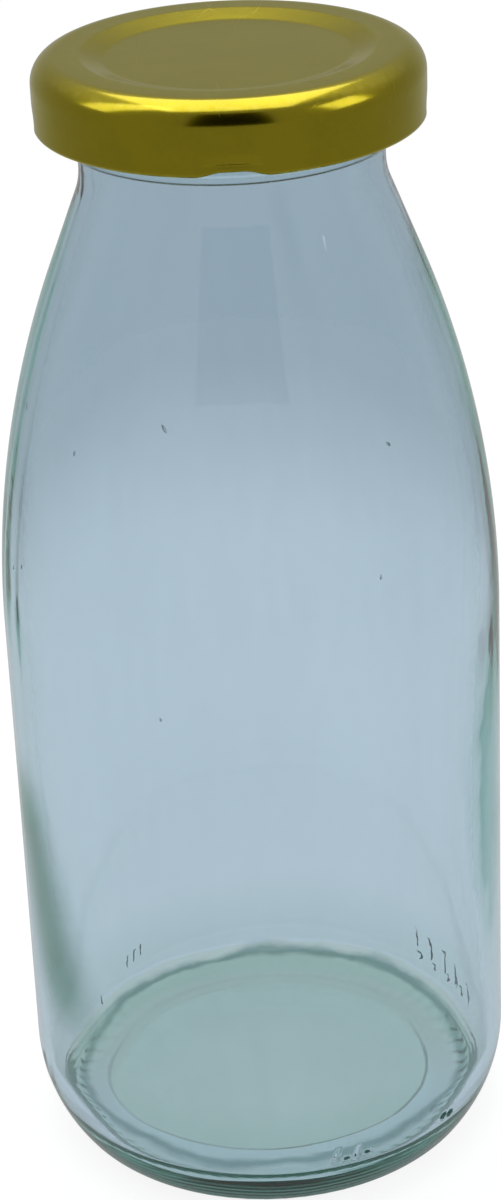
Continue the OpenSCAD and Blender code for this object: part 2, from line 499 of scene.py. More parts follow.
def scratch_group():
    """Sparse hairline scratches: a mask, and a height that dips along them."""
    name = "Hairline scratches"
    if name in bpy.data.node_groups:
        return bpy.data.node_groups[name]
    tree, inp, out = new_group(
        name,
        [
            ("Place", VECTOR, None),
            ("Scale", FLOAT, 60.0),
            ("Width", FLOAT, 0.004),
            ("Cover", FLOAT, 0.5),
        ],
        [("Mask", FLOAT, None), ("Height", FLOAT, None)],
    )
    edge = rest_of(tree, product(tree, inp.outputs["Cover"], 0.6))
    masks = []
    for n, (tilt, spin) in enumerate(((0.3, 0.5), (-0.2, 1.7), (0.1, 2.75))):
        place = add(
            tree,
            "ShaderNodeMapping",
            {
                "Vector": inp.outputs["Place"],
                "Rotation": (tilt, 0.2 * n, spin),
                "Scale": (1.0, 0.07, 1.0),
                "Location": (0.37 * n, 0.11 * n, 0.0),
            },
        ).outputs["Vector"]
        field = noise(tree, place, inp.outputs["Scale"], 1.0)
        near = maths(tree, "ABSOLUTE", maths(tree, "SUBTRACT", field, 0.5))
        near = maths(tree, "DIVIDE", near, inp.outputs["Width"])
        hair = maths(tree, "SUBTRACT", 1.0, near, True)
        broken = noise(tree, place, product(tree, inp.outputs["Scale"], 2.3), 1.0)
        above = maths(tree, "SUBTRACT", broken, product(tree, edge, 0.62))
        kept = maths(tree, "MULTIPLY", above, 9.0, True)
        masks.append(product(tree, hair, kept))
    most = maths(tree, "MAXIMUM", maths(tree, "MAXIMUM", masks[0], masks[1]), masks[2])
    tree.links.new(most, out.inputs["Mask"])
    tree.links.new(rest_of(tree, most), out.inputs["Height"])
    return tree


def ripple_group():
    """A faintly uneven surface, as on pressed sheet, cast compound or moulded glass."""
    name = "Uneven surface"
    if name in bpy.data.node_groups:
        return bpy.data.node_groups[name]
    tree, inp, out = new_group(
        name,
        [("Place", VECTOR, None), ("Scale", FLOAT, 200.0), ("Fine share", FLOAT, 0.2)],
        [("Height", FLOAT, None)],
    )
    place, scale = inp.outputs["Place"], inp.outputs["Scale"]
    slow = noise(tree, place, scale, 1.0)
    fine = noise(tree, place, product(tree, scale, 6.0), 2.0)
    both = total(tree, slow, product(tree, fine, inp.outputs["Fine share"]))
    tree.links.new(both, out.inputs["Height"])
    return tree


def use_group(tree, group, **inputs):
    return add(
        tree,
        "ShaderNodeGroup",
        {key.replace("_", " "): value for key, value in inputs.items()},
        node_tree=group,
    )


def mottled(tree, place, base, change, scale, amount):
    """The mottled finish between a colour and the same colour times change."""
    second = tuple(min(1.0, c * change) for c in base)
    return use_group(
        tree,
        mottle_group(),
        Place=place,
        Colour=(*base, 1),
        Second_colour=(*second, 1),
        Scale=scale,
        Amount=amount,
    ).outputs


def uneven(tree, place, scale, fine_share):
    group = use_group(tree, ripple_group(), Place=place, Scale=scale, Fine_share=fine_share)
    return group.outputs["Height"]


def raised(tree, height, strength, distance):
    """The normal of a surface with this relief, whose full height is distance in metres."""
    settings = {"Strength": strength, "Distance": distance, "Height": height}
    return add(tree, "ShaderNodeBump", settings).outputs["Normal"]


def new_material(name):
    """An empty material with its output node and the object's own coordinates."""
    material = bpy.data.materials.new(name)
    material.use_nodes = True
    tree = material.node_tree
    tree.nodes.clear()
    place = tree.nodes.new("ShaderNodeTexCoord").outputs["Object"]
    return material, tree, tree.nodes.new("ShaderNodeOutputMaterial"), place


# ---------------------------------------------------------------- glass


# Rings of the hollow and of the inside floor: (share of the points, radii)
HOLLOW_RINGS = (
    (0.25, (0.9, 2.2, 3.8)),
    (0.5, (5.6, 7.8, 10.2)),
    (1, (12.6, 14.8, 16.8, 18.6, 20.0)),
)
FLOOR_RINGS = ((1, (18.6, 16.4, 14.4, 12.6)), (0.5, (10.2, 7.8, 5.6)), (0.25, (3.8, 2.2, 0.9)))
TICKED_R = 27.0  # the standing ring's ticks need finer rings within this radius


def glass_rows(s):
    """The bottle's outline from the middle of the hollow, up the outside, down the inside."""
    body_r, neck_r, finish_r = s.body_d / 2, s.neck_d / 2, s.finish_d / 2
    toe_x, toe = body_r - s.heel_w, s.heel_toe_r
    heel_r = (s.heel_w**2 + (s.heel_h - toe) ** 2 - toe**2) / (2 * (s.heel_w - toe))
    heel_x = body_r - heel_r
    heel_turn = math.degrees(math.atan2(toe - s.heel_h, toe_x - heel_x))
    stand_r = toe_x - s.stand_ring_w
    dome_r = (stand_r**2 + s.push_up**2) / (2 * s.push_up)
    dome_z = s.push_up - dome_r

    def on_dome(r):
        return r, dome_z + math.sqrt(dome_r**2 - r**2)

    rows = [(0, s.push_up, 1, "hollow")]
    for share, radii in HOLLOW_RINGS:
        rows += [(*on_dome(r), share, "hollow") for r in radii]
    rows += [(*on_dome(stand_r - 0.35), 1, "hollow"), (*on_dome(stand_r - 0.08), 1, "hollow")]

    def row_list(points, share, tag):
        rows.extend((r, z, share, tag) for r, z in points)

    row_list([(stand_r + 0.08, 0.0), (stand_r + 0.4, 0.0), (stand_r + 0.8, 0.0)], 1, "stand")
    row_list(line((stand_r + 0.8, 0), (toe_x, 0), 0.3), 2, "stand")
    toe_points = arc(toe_x, toe, toe, -90, heel_turn, 0.36)[1:]
    row_list([p for p in toe_points if p[0] < TICKED_R], 2, "stand")
    row_list([p for p in toe_points if p[0] >= TICKED_R], 1, "heel")
    row_list(arc(heel_x, s.heel_h, heel_r, heel_turn, 0, 0.75)[1:], 1, "heel")

    slope = s.shoulder_slope
    blend = s.neck_blend_r
    neck_x, neck_z = neck_r + blend, s.bottle_h - s.bead_drop - s.neck_h
    tilt, curves = math.radians(slope), s.shoulder_r + blend
    wide = body_r - neck_r - curves * (1 - math.cos(tilt))
    high = curves * math.sin(tilt) + wide / math.tan(tilt)
    shoulder_x, shoulder_z = body_r - s.shoulder_r, neck_z - high

    def shoulder(inset, coarse):
        lower = arc(shoulder_x, shoulder_z, s.shoulder_r - inset, 0, slope, coarse)
        upper = arc(neck_x, neck_z, blend + inset, 180 + slope, 180, 0.5)
        return lower + line(lower[-1], upper[0], coarse) + upper[1:]

    side = shoulder(0, 1.5)
    row_list(line((body_r, s.heel_h), side[0], 2.0), 1, "body")
    row_list(side[1:], 1, "body")
    bead_z = s.bottle_h - s.bead_drop
    bead_x = finish_r + s.bead_stand - s.bead_edge_r
    root = s.bead_root_r
    root_z = bead_z - s.bead_edge_r - root
    row_list(line((neck_r, neck_z), (neck_r, root_z), 0.8), 1, "neck")
    row_list(arc(neck_r + root, root_z, root, 180, 90, 0.25)[1:], 1, "neck")
    under_bead = bead_x, bead_z - s.bead_edge_r
    row_list(line((neck_r + root, root_z + root), under_bead, 0.7), 1, "neck")
    bead_end = math.degrees(math.acos((finish_r - bead_x) / s.bead_edge_r))
    bead = arc(bead_x, bead_z, s.bead_edge_r, -90, bead_end, 0.2)[1:]
    row_list(bead[:-3], 1, "bead")
    row_list(bead[-3:], 2, "thread")
    edge = s.land_edge_r
    wall_top = s.bottle_h - edge
    row_list(line(bead[-1], (finish_r, wall_top), 0.21), 2, "thread")
    row_list(arc(finish_r - edge, wall_top, edge, 0, 90, 0.22)[1:], 1, "land")
    bore_r = neck_r - s.wall
    row_list(line((finish_r - edge, s.bottle_h), (bore_r + edge, s.bottle_h), 0.8), 1, "land")
    row_list(arc(bore_r + edge, wall_top, edge, 90, 180, 0.24)[1:], 1, "land")

    inner = shoulder(s.wall, 1.7)[::-1]
    row_list(line((bore_r, wall_top), inner[0], 1.6), 1, "bore")
    row_list(inner[1:], 1, "inner")
    row_list(line(inner[-1], (body_r - s.wall, s.heel_h), 2.2), 1, "inner")
    inner_heel_r, corner = heel_r - s.wall, s.inside_corner_r
    floor_z = s.push_up + s.base_t
    drop = s.heel_h - floor_z - corner
    corner_x = heel_x + math.sqrt((inner_heel_r - corner) ** 2 - drop**2)
    corner_turn = -math.degrees(math.atan2(drop, corner_x - heel_x))
    row_list(arc(heel_x, s.heel_h, inner_heel_r, 0, corner_turn, 0.7)[1:], 1, "inner")
    row_list(arc(corner_x, floor_z + corner, corner, corner_turn, -90, 0.3)[1:], 1, "floor")
    row_list(line((corner_x, floor_z), (s.ring_r, floor_z), 0.3), 1, "floor")
    for share, radii in FLOOR_RINGS:
        rows += [(r, floor_z, share, "floor") for r in radii]
    rows.append((0, floor_z, 1, "floor"))
    return rows


def waves(angle, z, seed):
    """A slow, repeatable unevenness between about -1 and 1."""
    a = np.radians(angle) + seed
    return (
        0.40 * np.sin(2 * a + 0.6 + z / 31)
        + 0.25 * np.sin(3 * a - 1.1 - z / 19)
        + 0.15 * np.sin(5 * a + 2.0 + z / 13)
        + 0.20 * np.sin(z / 8 + 1.3 * np.sin(a + 0.7))
    )


SEAMS = (14.0, 194.0)  # degrees round
SEAM_TURN = 1.1  # degrees from a seam's middle to its edge
STIPPLE_TOP = 3.4  # the standing ring is roughened up to here
# Where the wall is thickest: (degrees round, height), and how far a patch spreads
THICK_PATCHES = ((-164.0, 39.0), (-9.0, 42.0))
PATCH_TURN, PATCH_HEIGHT = 17.0, 15.0
# The green of that glass: (degrees round, height, share of the tint)
GREEN_SPOTS = (
    (-162.0, 49.0, 1.0),
    (-157.0, 42.0, 0.9),
    (-153.0, 35.0, 0.9),
    (-149.0, 28.0, 0.9),
    (-9.0, 42.0, 0.25),
)
RIDGE_REACH = 60.0  # degrees from a ridge's middle past which it has sunk away
RIDGE_FLANK = 2.5  # how fast a ridge falls away under the wall
TICK_RINGS = (24.1, 26.3)  # the ticks lie between these radii
SETTLE_W, RING_W = 0.6, 0.25  # half widths of the two dips in the inside floor


def glass_shape(s):
    """How each ring of the bottle departs from a plain turned one."""
    finish_r = s.finish_d / 2
    ridge_r = finish_r + s.ridge_stand - s.ridge_d / 2
    end_r = finish_r - s.ridge_d / 2 - 0.1
    end_x = end_r * math.cos(math.radians(s.ridge_half))
    shift = (ridge_r**2 - end_r**2) / (2 * (ridge_r - end_x))
    ring_r = ridge_r - shift
    rise = math.tan(math.asin(s.lead / (2 * math.pi * ridge_r)))
    low, high = s.heel_h, s.bottle_h - s.bead_drop - s.neck_h

    def shape(r, z, angle, tag):
        height = z[0]
        if tag == "thread":
            for i in range(s.starts):
                away = wrap(angle - (FRONT + s.ridge_lag + i * 360 / s.starts))
                a = np.radians(np.clip(away, -RIDGE_REACH, RIDGE_REACH))
                middle = shift * np.cos(a) + np.sqrt(ring_r**2 - (shift * np.sin(a)) ** 2)
                up = np.abs(height - (s.ridge_z + middle * np.sin(a) * rise))
                up = up * math.cos(math.atan(rise))
                half = s.ridge_d / 2
                bulge = np.sqrt(np.maximum(half**2 - up**2, 0))
                proud = np.where(up < half, bulge, (half - up) * RIDGE_FLANK)
                ridge = np.where(np.abs(away) < RIDGE_REACH, middle + proud, 0)
                near = np.maximum(s.ridge_fillet - np.abs(ridge - r), 0) / s.ridge_fillet
                r = np.maximum(r, ridge) + near**2 * s.ridge_fillet / 4
        elif tag == "body" or (tag == "heel" and height >= 2):
            # Fades in over the heel and out under the neck, never outside the true diameter
            share = float(smooth(height, 3, low + 6) * (1 - smooth(height, high - 12, high)))
            r = r - share * s.outer_wave * (1.0 - 0.5 * waves(angle, height, 0.3))
            r = r + seam_height(s, angle) * float(smooth(height, 4, 12)) * 0.9
            r = np.minimum(r, s.body_d / 2)
        elif tag == "neck":
            r = r + seam_height(s, angle) * 0.8
        elif tag in ("inner", "floor"):
            share = float(smooth(height, 9, 24) * (1 - smooth(height, high - 26, high)))
            r = r - share * s.inner_wave * (1.0 + waves(angle, height, 1.9))
            for centre, level in THICK_PATCHES:
                across, up = wrap(angle - centre) / PATCH_TURN, (height - level) / PATCH_HEIGHT
                patch = np.exp(-(across**2) - up**2)
                r = r - s.thick_patch * patch * float(smooth(height, 9, 18))
            if tag == "floor":
                a = np.radians(angle)
                wander = 0.35 * np.sin(3 * a + 0.8) + 0.2 * np.sin(7 * a)
                wander = wander + 0.12 * np.sin(17 * a + 1)
                groove = np.exp(-(((r - s.settle_r - 0.4 - wander) / SETTLE_W) ** 2))
                z = z - s.settle_depth * groove * (1 + 0.35 * np.sin(9 * a + 0.4))
                z = z - s.ring_depth * np.exp(-(((r - s.ring_r) / RING_W) ** 2))
        elif tag in ("stand", "heel") and height < 2:
            tick = angle * s.knurl_count / 360 % 1
            hollow = 1 - window(tick, 0.28, 0.62, 0.14)
            reach = float(window(r[0], *TICK_RINGS, 0.4))
            z = z + s.knurl_depth * reach * hollow
        return r, z

    return shape


def seam_height(s, angle):
    return sum(s.seam * np.exp(-((wrap(angle - seam) / SEAM_TURN) ** 2)) for seam in SEAMS)


# Marks on the heel: (azimuth, height, length, width, lean), in degrees and millimetres.
# A length of 0 makes a round dot.
HEEL_MARKS = (
    (129.7, 8.1, 1.5, 0.34, 14),
    (132.2, 7.8, 1.5, 0.34, 14),
    (134.7, 7.5, 1.4, 0.34, 14),
    (149.6, 4.8, 0.9, 0.42, 10),
    (43.0, 9.6, 2.6, 0.6, -12),
    (41.0, 6.9, 0, 1.0, 0),
    (37.2, 8.9, 2.8, 0.6, -12),
    (34.6, 6.6, 0, 1.0, 0),
    (30.6, 8.5, 3.0, 0.6, -12),
    (27.4, 6.6, 0, 1.0, 0),
    (23.4, 8.1, 3.0, 0.6, -12),
    (19.4, 6.9, 0, 1.1, 0),
    (15.4, 7.6, 2.4, 0.6, -12),
    (-75.6, 9.3, 2.0, 0.5, -12),
    (-73.0, 8.4, 0, 0.9, 0),
    (-70.4, 9.1, 2.2, 0.55, -12),
    (-67.8, 8.6, 0, 0.9, 0),
    (-45.0, 8.9, 0, 0.9, 0),
    (-42.6, 8.6, 0, 0.9, 0),
)
HEEL_R = 28.0  # about where the marks are, from the axis
MARK_ROOM = 0.8  # the mesh is cut finer as far as this round a mark
HEEL_STRETCH = 1.05  # the heel leans, so a mark is longer than its height shows


def add_heel_marks(mesh, s):
    """Cuts the heel's faces finer round each mark and raises the mark out of them."""
    bm = bmesh.new()
    bm.from_mesh(mesh)
    outer = bm.faces.layers.float.get("outside")
    boxes = [(a, z, max(size, width) + MARK_ROOM) for a, z, size, width, _ in HEEL_MARKS]

    def close(p, extra=0.0):
        azimuth = math.degrees(math.atan2(p.y, p.x))
        for a, z, reach in boxes:
            across = math.radians(float(wrap(azimuth - a))) * HEEL_R
            if abs(across) < reach + extra and abs(p.z / MM - z) < reach + extra:
                return True
        return False

    def near_marks(extra=0.0):
        return [f for f in bm.faces if f[outer] and close(f.calc_center_median(), extra)]

    for _ in range(2):
        edges = list({e for f in near_marks() for e in f.edges})
        bmesh.ops.subdivide_edges(bm, edges=edges, cuts=1, use_grid_fill=True)
    verts = {v for f in near_marks(0.4) for v in f.verts}
    for v in sorted(verts, key=lambda v: v.index):
        azimuth = math.degrees(math.atan2(v.co.y, v.co.x))
        radius = math.hypot(v.co.x, v.co.y)
        lift = 0.0
        for a, z, size, width, lean in HEEL_MARKS:
            across = math.radians(float(wrap(azimuth - a))) * radius / MM
            along = (v.co.z / MM - z) * HEEL_STRETCH
            t = math.radians(lean)
            u = across * math.cos(t) + along * math.sin(t)
            w = along * math.cos(t) - across * math.sin(t)
            w = max(abs(w) - size / 2, 0)
            away = math.hypot(u, w) - width / 2
            lift = max(lift, float(1 - smooth(away, -0.10, 0.12)))
        if lift:
            stand = min(s.mark_stand * lift, max(0.0, s.body_d / 2 - radius / MM))
            v.co.xy *= 1 + stand * MM / radius
    bm.to_mesh(mesh)
    bm.free()


# Small seeds, which are bubbles inside the wall: (azimuth, height, length, width, lean)
SEEDS = (
    (-110.5, 105.3, 1.1, 0.34, 35),
    (-169.7, 101.2, 0.9, 0.42, 10),
    (-160.3, 82.6, 0.7, 0.36, -20),
    (-136.7, 100.4, 0.6, 0.3, 0),
    (-52.4, 101.1, 0.7, 0.34, 40),
    (52.0, 64.0, 0.8, 0.3, 5),
    (118.0, 42.0, 0.6, 0.34, -15),
)
SEED_DEPTH = 0.75  # a seed's middle, under the outer surface


def add_seeds(mesh, s):
    """Ellipsoids whose faces look inwards, just under the outer surface."""
    bm = bmesh.new()
    bm.from_mesh(mesh)
    slope = math.radians(s.shoulder_slope)
    for azimuth, z, size, width, lean in SEEDS:
        points = [v.co for v in bm.verts if abs(v.co.z / MM - z) < 1.6]
        outside = max(math.hypot(p.x, p.y) for p in points if abs(p.z / MM - z) < 0.9) / MM
        radius = (outside - SEED_DEPTH) * MM
        a = math.radians(azimuth)
        centre = Vector((radius * math.cos(a), radius * math.sin(a), z * MM))
        place = (
            Matrix.Translation(centre)
            @ Matrix.Rotation(a, 4, "Z")
            @ Matrix.Rotation(-slope * float(smooth(z, 72, 100)), 4, "Y")
            @ Matrix.Rotation(math.radians(lean), 4, "X")
            @ Matrix.Diagonal((width * MM / 2, width * MM / 2, size * MM / 2, 1))
        )
        made = bmesh.ops.create_icosphere(bm, subdivisions=2, radius=1.0, matrix=place)
        faces = list({f for v in made["verts"] for f in v.link_faces})
        bmesh.ops.reverse_faces(bm, faces=faces)
        for f in faces:
            f.smooth = True
    bm.to_mesh(mesh)
    bm.free()


# The second centre is that of the painted shadow band along the settle mark.
FLOOR_RING_CENTRE, SETTLE_SHADOW_CENTRE = (-0.5, -0.7), (0.2, 0.9)  # both marks lie off the axis
SPOT_SPREAD = (1.5, 10.5)  # a green spot fades away between these distances
EDGE_ON = (0.25, 0.5)  # how far the wall has turned away where thick glass begins to show


def glass_tint(tree, s, place):
    """The outside carries the colour of the wall and the green of its thick patches. The
    inside is clear but for painted shade at the foot of its wall, the tint of its floor, the fine
    ring on that floor and a painted shadow band along the settle mark."""
    streaks = add(tree, "ShaderNodeMapping", {"Vector": place, "Scale": (1.0, 1.0, 0.16)})
    wall = mottled(tree, streaks.outputs["Vector"], s.wall_tint, 1.05, 70.0, 0.8)
    outside = add(tree, "ShaderNodeAttribute", attribute_name="outside").outputs["Fac"]
    tint = mix_colours(tree, outside, (1, 1, 1), wall["Colour"])

    # Thick glass shows only where it is seen edge on
    edge_on = add(tree, "ShaderNodeLayerWeight", {"Blend": 0.5}).outputs["Facing"]
    edge_on = step_between(tree, edge_on, *EDGE_ON)
    spread = [v * MM for v in SPOT_SPREAD]
    for azimuth, level, share in GREEN_SPOTS:
        a, r = math.radians(azimuth), s.body_d / 2 - 0.5
        centre = tuple(v * MM for v in (r * math.cos(a), r * math.sin(a), level))
        away = add(tree, "ShaderNodeVectorMath", {0: place, 1: centre}, operation="DISTANCE")
        near = rest_of(tree, step_between(tree, away.outputs["Value"], *spread))
        tint = times(tree, tint, product(tree, near, share, edge_on), s.patch_tint)

    def rises(value, low, high):
        return step_between(tree, value, low * MM, high * MM)

    apart = add(tree, "ShaderNodeSeparateXYZ", {0: place}).outputs
    height, depth = apart["Z"], apart["Y"]
    floor_h = s.push_up + s.base_t
    inside = rest_of(tree, outside)

    # Round the standing ring, but not in the hollow
    low_down = rest_of(tree, rises(height, 1.2, 4.0))
    outward = rises(far_from(tree, place, (0, 0)), 24.2, 25.4)
    tint = times(tree, tint, product(tree, low_down, outward, outside), s.heel_tint)

    # Painted shade on the foot of the wall inside, for the floor's shadow seen through the glass,
    # then the floor's tint
    foot = maths(
        tree,
        "SUBTRACT",
        rises(height, floor_h + 0.6, floor_h + 1.6),
        rises(height, floor_h + 2.5, floor_h + 13),
    )
    tint = times(tree, tint, product(tree, foot, inside), s.low_wall_shade)
    on_floor = product(tree, band(tree, height, floor_h * MM, 0.8 * MM, 0.3 * MM), inside)
    from_ring = far_from(tree, place, FLOOR_RING_CENTRE)
    within = rest_of(tree, rises(from_ring, s.ring_r - 0.3, s.ring_r))
    tinted = maths(tree, "MAXIMUM", within, rises(depth, -12, 5))
    tint = times(tree, tint, product(tree, tinted, on_floor), s.floor_tint)

    # The fine ring, uneven round the front and gone at the back
    uneven_ink = step_between(tree, noise(tree, place, 70.0, 1.0), 0.3, 0.6)
    uneven_ink = total(tree, product(tree, uneven_ink, 0.5), 0.5)
    in_front = rest_of(tree, rises(depth, -2, 8))
    ring = band(tree, from_ring, s.ring_r * MM, 0.06 * MM, 0.26 * MM)
    ring = product(tree, ring, on_floor, uneven_ink, in_front)
    tint = times(tree, tint, ring, tuple(c * 0.3 for c in s.floor_tint))

    # Painted shadow: a wavy dark band on the inside floor, along the settle groove in the mesh,
    # that stands in for the shadow round the heel seen through the glass
    wander = maths(tree, "SUBTRACT", noise(tree, place, 95.0, 2.0, 0.6), 0.5)
    wander = product(tree, wander, 3.2 * MM)
    from_settle_shadow = total(tree, far_from(tree, place, SETTLE_SHADOW_CENTRE), wander)
    low = band(tree, height, (floor_h + 1.0) * MM, 1.6 * MM, 0.8 * MM)
    settle_shadow_band = band(tree, from_settle_shadow, s.settle_r * MM, 0.1 * MM, s.settle_shadow_w * MM)
    return times(tree, tint, product(tree, settle_shadow_band, low, inside), s.settle_shadow_tint)


MOULD_LINES = 7400.0  # radians of the tooling lines in each metre of the heel's height
MOULD_DRIFT = 6.0  # how far the lines wander, in radians
MOULD_SHARE = 0.07  # their part of the relief


def glass_surface(name, s, roughness):
    """Soda-lime glass that casts a pale shadow and turns green where it is thick."""
    material, tree, out, place = new_material(name)
    tint = glass_tint(tree, s, place)
    height = add(tree, "ShaderNodeSeparateXYZ", {0: place}).outputs["Z"]
    drift = product(tree, noise(tree, place, 60.0, 2.0), MOULD_DRIFT)
    lines = maths(tree, "SINE", total(tree, product(tree, height, MOULD_LINES), drift))
    low = rest_of(tree, step_between(tree, height, 3.5 * MM, 6.5 * MM))
    outside = add(tree, "ShaderNodeAttribute", attribute_name="outside").outputs["Fac"]
    lines = product(tree, lines, low, outside, MOULD_SHARE)
    relief = total(tree, uneven(tree, place, 55.0, 0.06), lines)
    glass = add(
        tree,
        "ShaderNodeBsdfPrincipled",
        {
            "Base Color": tint,
            "Metallic": 0.0,
            "Roughness": roughness,
            "IOR": 1.52,
            "Transmission Weight": 1.0,
            "Normal": raised(tree, relief, 0.35, 0.0004),
        },
    )
    clear = add(tree, "ShaderNodeBsdfTransparent", {"Color": (0.90, 0.93, 0.95, 1)})
    lamp = add(tree, "ShaderNodeLightPath").outputs["Is Shadow Ray"]
    mixed = add(tree, "ShaderNodeMixShader", {0: lamp, 1: glass.outputs[0], 2: clear.outputs[0]})
    tree.links.new(mixed.outputs[0], out.inputs["Surface"])
    deep = add(
        tree, "ShaderNodeVolumeAbsorption", {"Color": (*s.absorb, 1), "Density": s.density}
    )
    tree.links.new(deep.outputs[0], out.inputs["Volume"])
    return material


class MILKBOTTLE_OT_glass(bpy.types.Operator):
    """Blow the glass bottle, with its neck finish, thread, standing ring and heel marks"""

    bl_idname = "milkbottle.glass"
    bl_label = "Make the Glass Bottle"
    bl_options = {"REGISTER", "UNDO"}

    def execute(self, context):
        s = Sizes(context.scene.milk_bottle_glass)
        points, faces, tags = lathe(glass_rows(s), 3 * s.knurl_count, glass_shape(s))
        points[:, 2] = np.maximum(points[:, 2], 0)
        heights, radii = points[:, 2], np.hypot(points[:, 0], points[:, 1])
        stand_r = s.body_d / 2 - s.heel_w - s.stand_ring_w
        stippled = [
            int(max(heights[f]) < STIPPLE_TOP and min(radii[f]) > stand_r) for f in faces
        ]
        bottle = make_object(
            "glass_milk_bottle",
            points,
            faces,
            [
                glass_surface("soda_glass", s, s.polish),
                glass_surface("stippled_glass", s, s.stipple),
            ],
            stippled,
        )
        outside = bottle.data.attributes.new("outside", "FLOAT", "FACE")
        inner = ("bore", "inner", "floor")
        outside.data.foreach_set("value", [float(tag not in inner) for tag in tags])
        add_heel_marks(bottle.data, s)
        add_seeds(bottle.data, s)
        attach(bottle, "bottle")
        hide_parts("glass_bottle")
        return {"FINISHED"}


# ---------------------------------------------------------------- cap


PANEL_RINGS = (1.4, 3.0, 4.8, 6.6, 8.4, 10.0, 11.4, 12.6, 13.3)


def cap_path(s):
    """The outside of the cap from the middle of the panel to the end of the curl: points, and
    the directions that look out of the sheet."""
    panel_z, top = s.cap_top - s.panel_drop, s.cap_top
    panel_r, cap_r = s.panel_d / 2, s.cap_d / 2
    slope = math.degrees(math.atan(s.panel_drop / s.step_w))
    path = []

    def put(points, way):
        path.extend((r, z, *way) for r, z in points)

    def bend(cx, cz, radius, start, end, step, outward=1):
        for r, z in arc(cx, cz, radius, start, end, step):
            put([(r, z)], (outward * (r - cx) / radius, outward * (z - cz) / radius))

    foot = s.foot_r * math.tan(math.radians(slope / 2))
    crest = s.crest_r * math.tan(math.radians(slope / 2))
    put([(r, panel_z) for r in PANEL_RINGS], (0, 1))
    bend(panel_r - foot, panel_z + s.foot_r, s.foot_r, -90, -90 + slope, 0.16, -1)
    crest_x = panel_r + s.step_w + crest
    bend(crest_x, top - s.crest_r, s.crest_r, 90 + slope, 90, 0.16)
    corner_x = cap_r - s.corner_r
    put(line((crest_x, top), (corner_x, top), 0.7)[:-1], (0, 1))
    bend(corner_x, top - s.corner_r, s.corner_r, 90, 0, 0.3)
    curl_r = s.curl_d / 2
    curl_z = s.cap_bottom + curl_r
    lug_top = curl_z + 3.2
    put(line((cap_r, top - s.corner_r), (cap_r, lug_top), 0.5), (1, 0))
    put(line((cap_r, lug_top), (cap_r, curl_z), 0.22)[:-1], (1, 0))
    bend(cap_r - curl_r, curl_z, curl_r, 0, -(360 - s.curl_gap), 0.14)
    return path


LUG_FADE = 8.0  # degrees over which a lug rises out of the rolled edge
LUG_PRESS, LUG_RAISE = 0.12, 0.38  # how far the edge's outside follows a lug, in and up
LUG_ROOT = (1.1, 1.6)  # above the edge, a lug has gone between these heights
EDGE_W = 1.4  # the rolled edge reaches this far in from the skirt
DENT_H, DENT_SPREAD = 1.4, 0.9  # middle of the dent above the edge, and its reach


def cap_shape(s):
    """Presses the lugs in, and dents the skirt a little over each."""
    cap_r, half = s.cap_d / 2, s.lug_angle / 2
    ride_r = cap_r - s.lug_ride
    rise = math.tan(math.asin(s.lead / (2 * math.pi * ride_r)))

    def shape(r, z, angle, tag):
        height, inward = z[0], np.clip((cap_r - r) / s.curl_d, 0, 1)
        for i in range(s.lugs):
            away = wrap(angle - (FRONT + i * 360 / s.lugs))
            w = window(np.abs(away), -1, half - LUG_FADE + 1, LUG_FADE)
            above = height - s.cap_bottom
            if above < LUG_ROOT[1] and r[0] > cap_r - EDGE_W:
                low = float(1 - smooth(above, *LUG_ROOT))
                r = r - w * (LUG_PRESS + (s.lug_reach - LUG_PRESS) * inward) * low
                lift = LUG_RAISE + (s.lug_lift - LUG_RAISE) * inward
                tilt = np.radians(away) * ride_r * rise * inward
                z = z + w * (lift + tilt) * low
            if r[0] > cap_r - 0.5:
                dent = math.exp(-(((above - DENT_H) / DENT_SPREAD) ** 2))
                r = r - w * s.lug_dent * dent
        return r, z

    return shape


CREST_WEAR, CORNER_WEAR = 0.10, 0.12
CREST_R, CORNER_R, CORNER_W = (16.6, 17.6), 21.6, 0.5  # where they are worn, from the axis


def worn_field(s, points):
    """1 where hands and the capping head rub the lacquer away: the curl, and less on the
    crest and the corner."""
    r = np.hypot(points[:, 0], points[:, 1])
    z = points[:, 2]
    curl = 1 - smooth(z, s.cap_bottom + 0.05, s.cap_bottom + 0.42)
    crest = window(r, *CREST_R, 0.4) * smooth(z, s.cap_top - 0.1, s.cap_top - 0.02)
    corner = np.exp(-(((r - CORNER_R) / CORNER_W) ** 2))
    corner = corner * smooth(z, s.cap_top - 1.4, s.cap_top - 0.8)
    rim = np.maximum(crest * CREST_WEAR, corner * CORNER_WEAR)
    return np.clip(np.maximum(curl, rim), 0, 1)


def gold_material(s):
    """Clear gold lacquer over bright tinplate."""
    material, tree, out, place = new_material("gold_lacquer")
    mottle = mottled(tree, place, s.gold, 0.86, 160.0, 0.55)
    hair = use_group(tree, scratch_group(), Place=place, Scale=150.0, Width=0.0025, Cover=0.2)
    scratch, dip = hair.outputs["Mask"], hair.outputs["Height"]
    worn = add(tree, "ShaderNodeAttribute", attribute_name="worn").outputs["Fac"]
    patchy = step_between(tree, noise(tree, place, 900.0, 3.0, 0.6), 0.35, 0.62)
    rubbed = maths(tree, "MULTIPLY", worn, patchy, True)
    gold = mix_colours(tree, rubbed, mottle["Colour"], s.gold_worn)
    gold = mix_colours(tree, product(tree, scratch, 0.12), gold, s.gold_worn)
    rough = total(tree, product(tree, scratch, 0.1), s.gold_rough)
    rough = total(tree, product(tree, mottle["Mask"], 0.03), rough)
    relief = total(tree, product(tree, dip, 0.25), uneven(tree, place, 240.0, 0.25))
    metal = add(
        tree,
        "ShaderNodeBsdfPrincipled",
        {
            "Base Color": gold,
            "Metallic": 1.0,
            "Roughness": rough,
            "Specular Tint": (1.0, 1.0, 0.72, 1.0),
            "Coat Weight": s.gold_coat,
            "Coat Roughness": 0.08,
            "Coat IOR": 1.5,
            "Normal": raised(tree, relief, 0.12, 0.00012),
        },
    )
    tree.links.new(metal.outputs[0], out.inputs["Surface"])
    return material


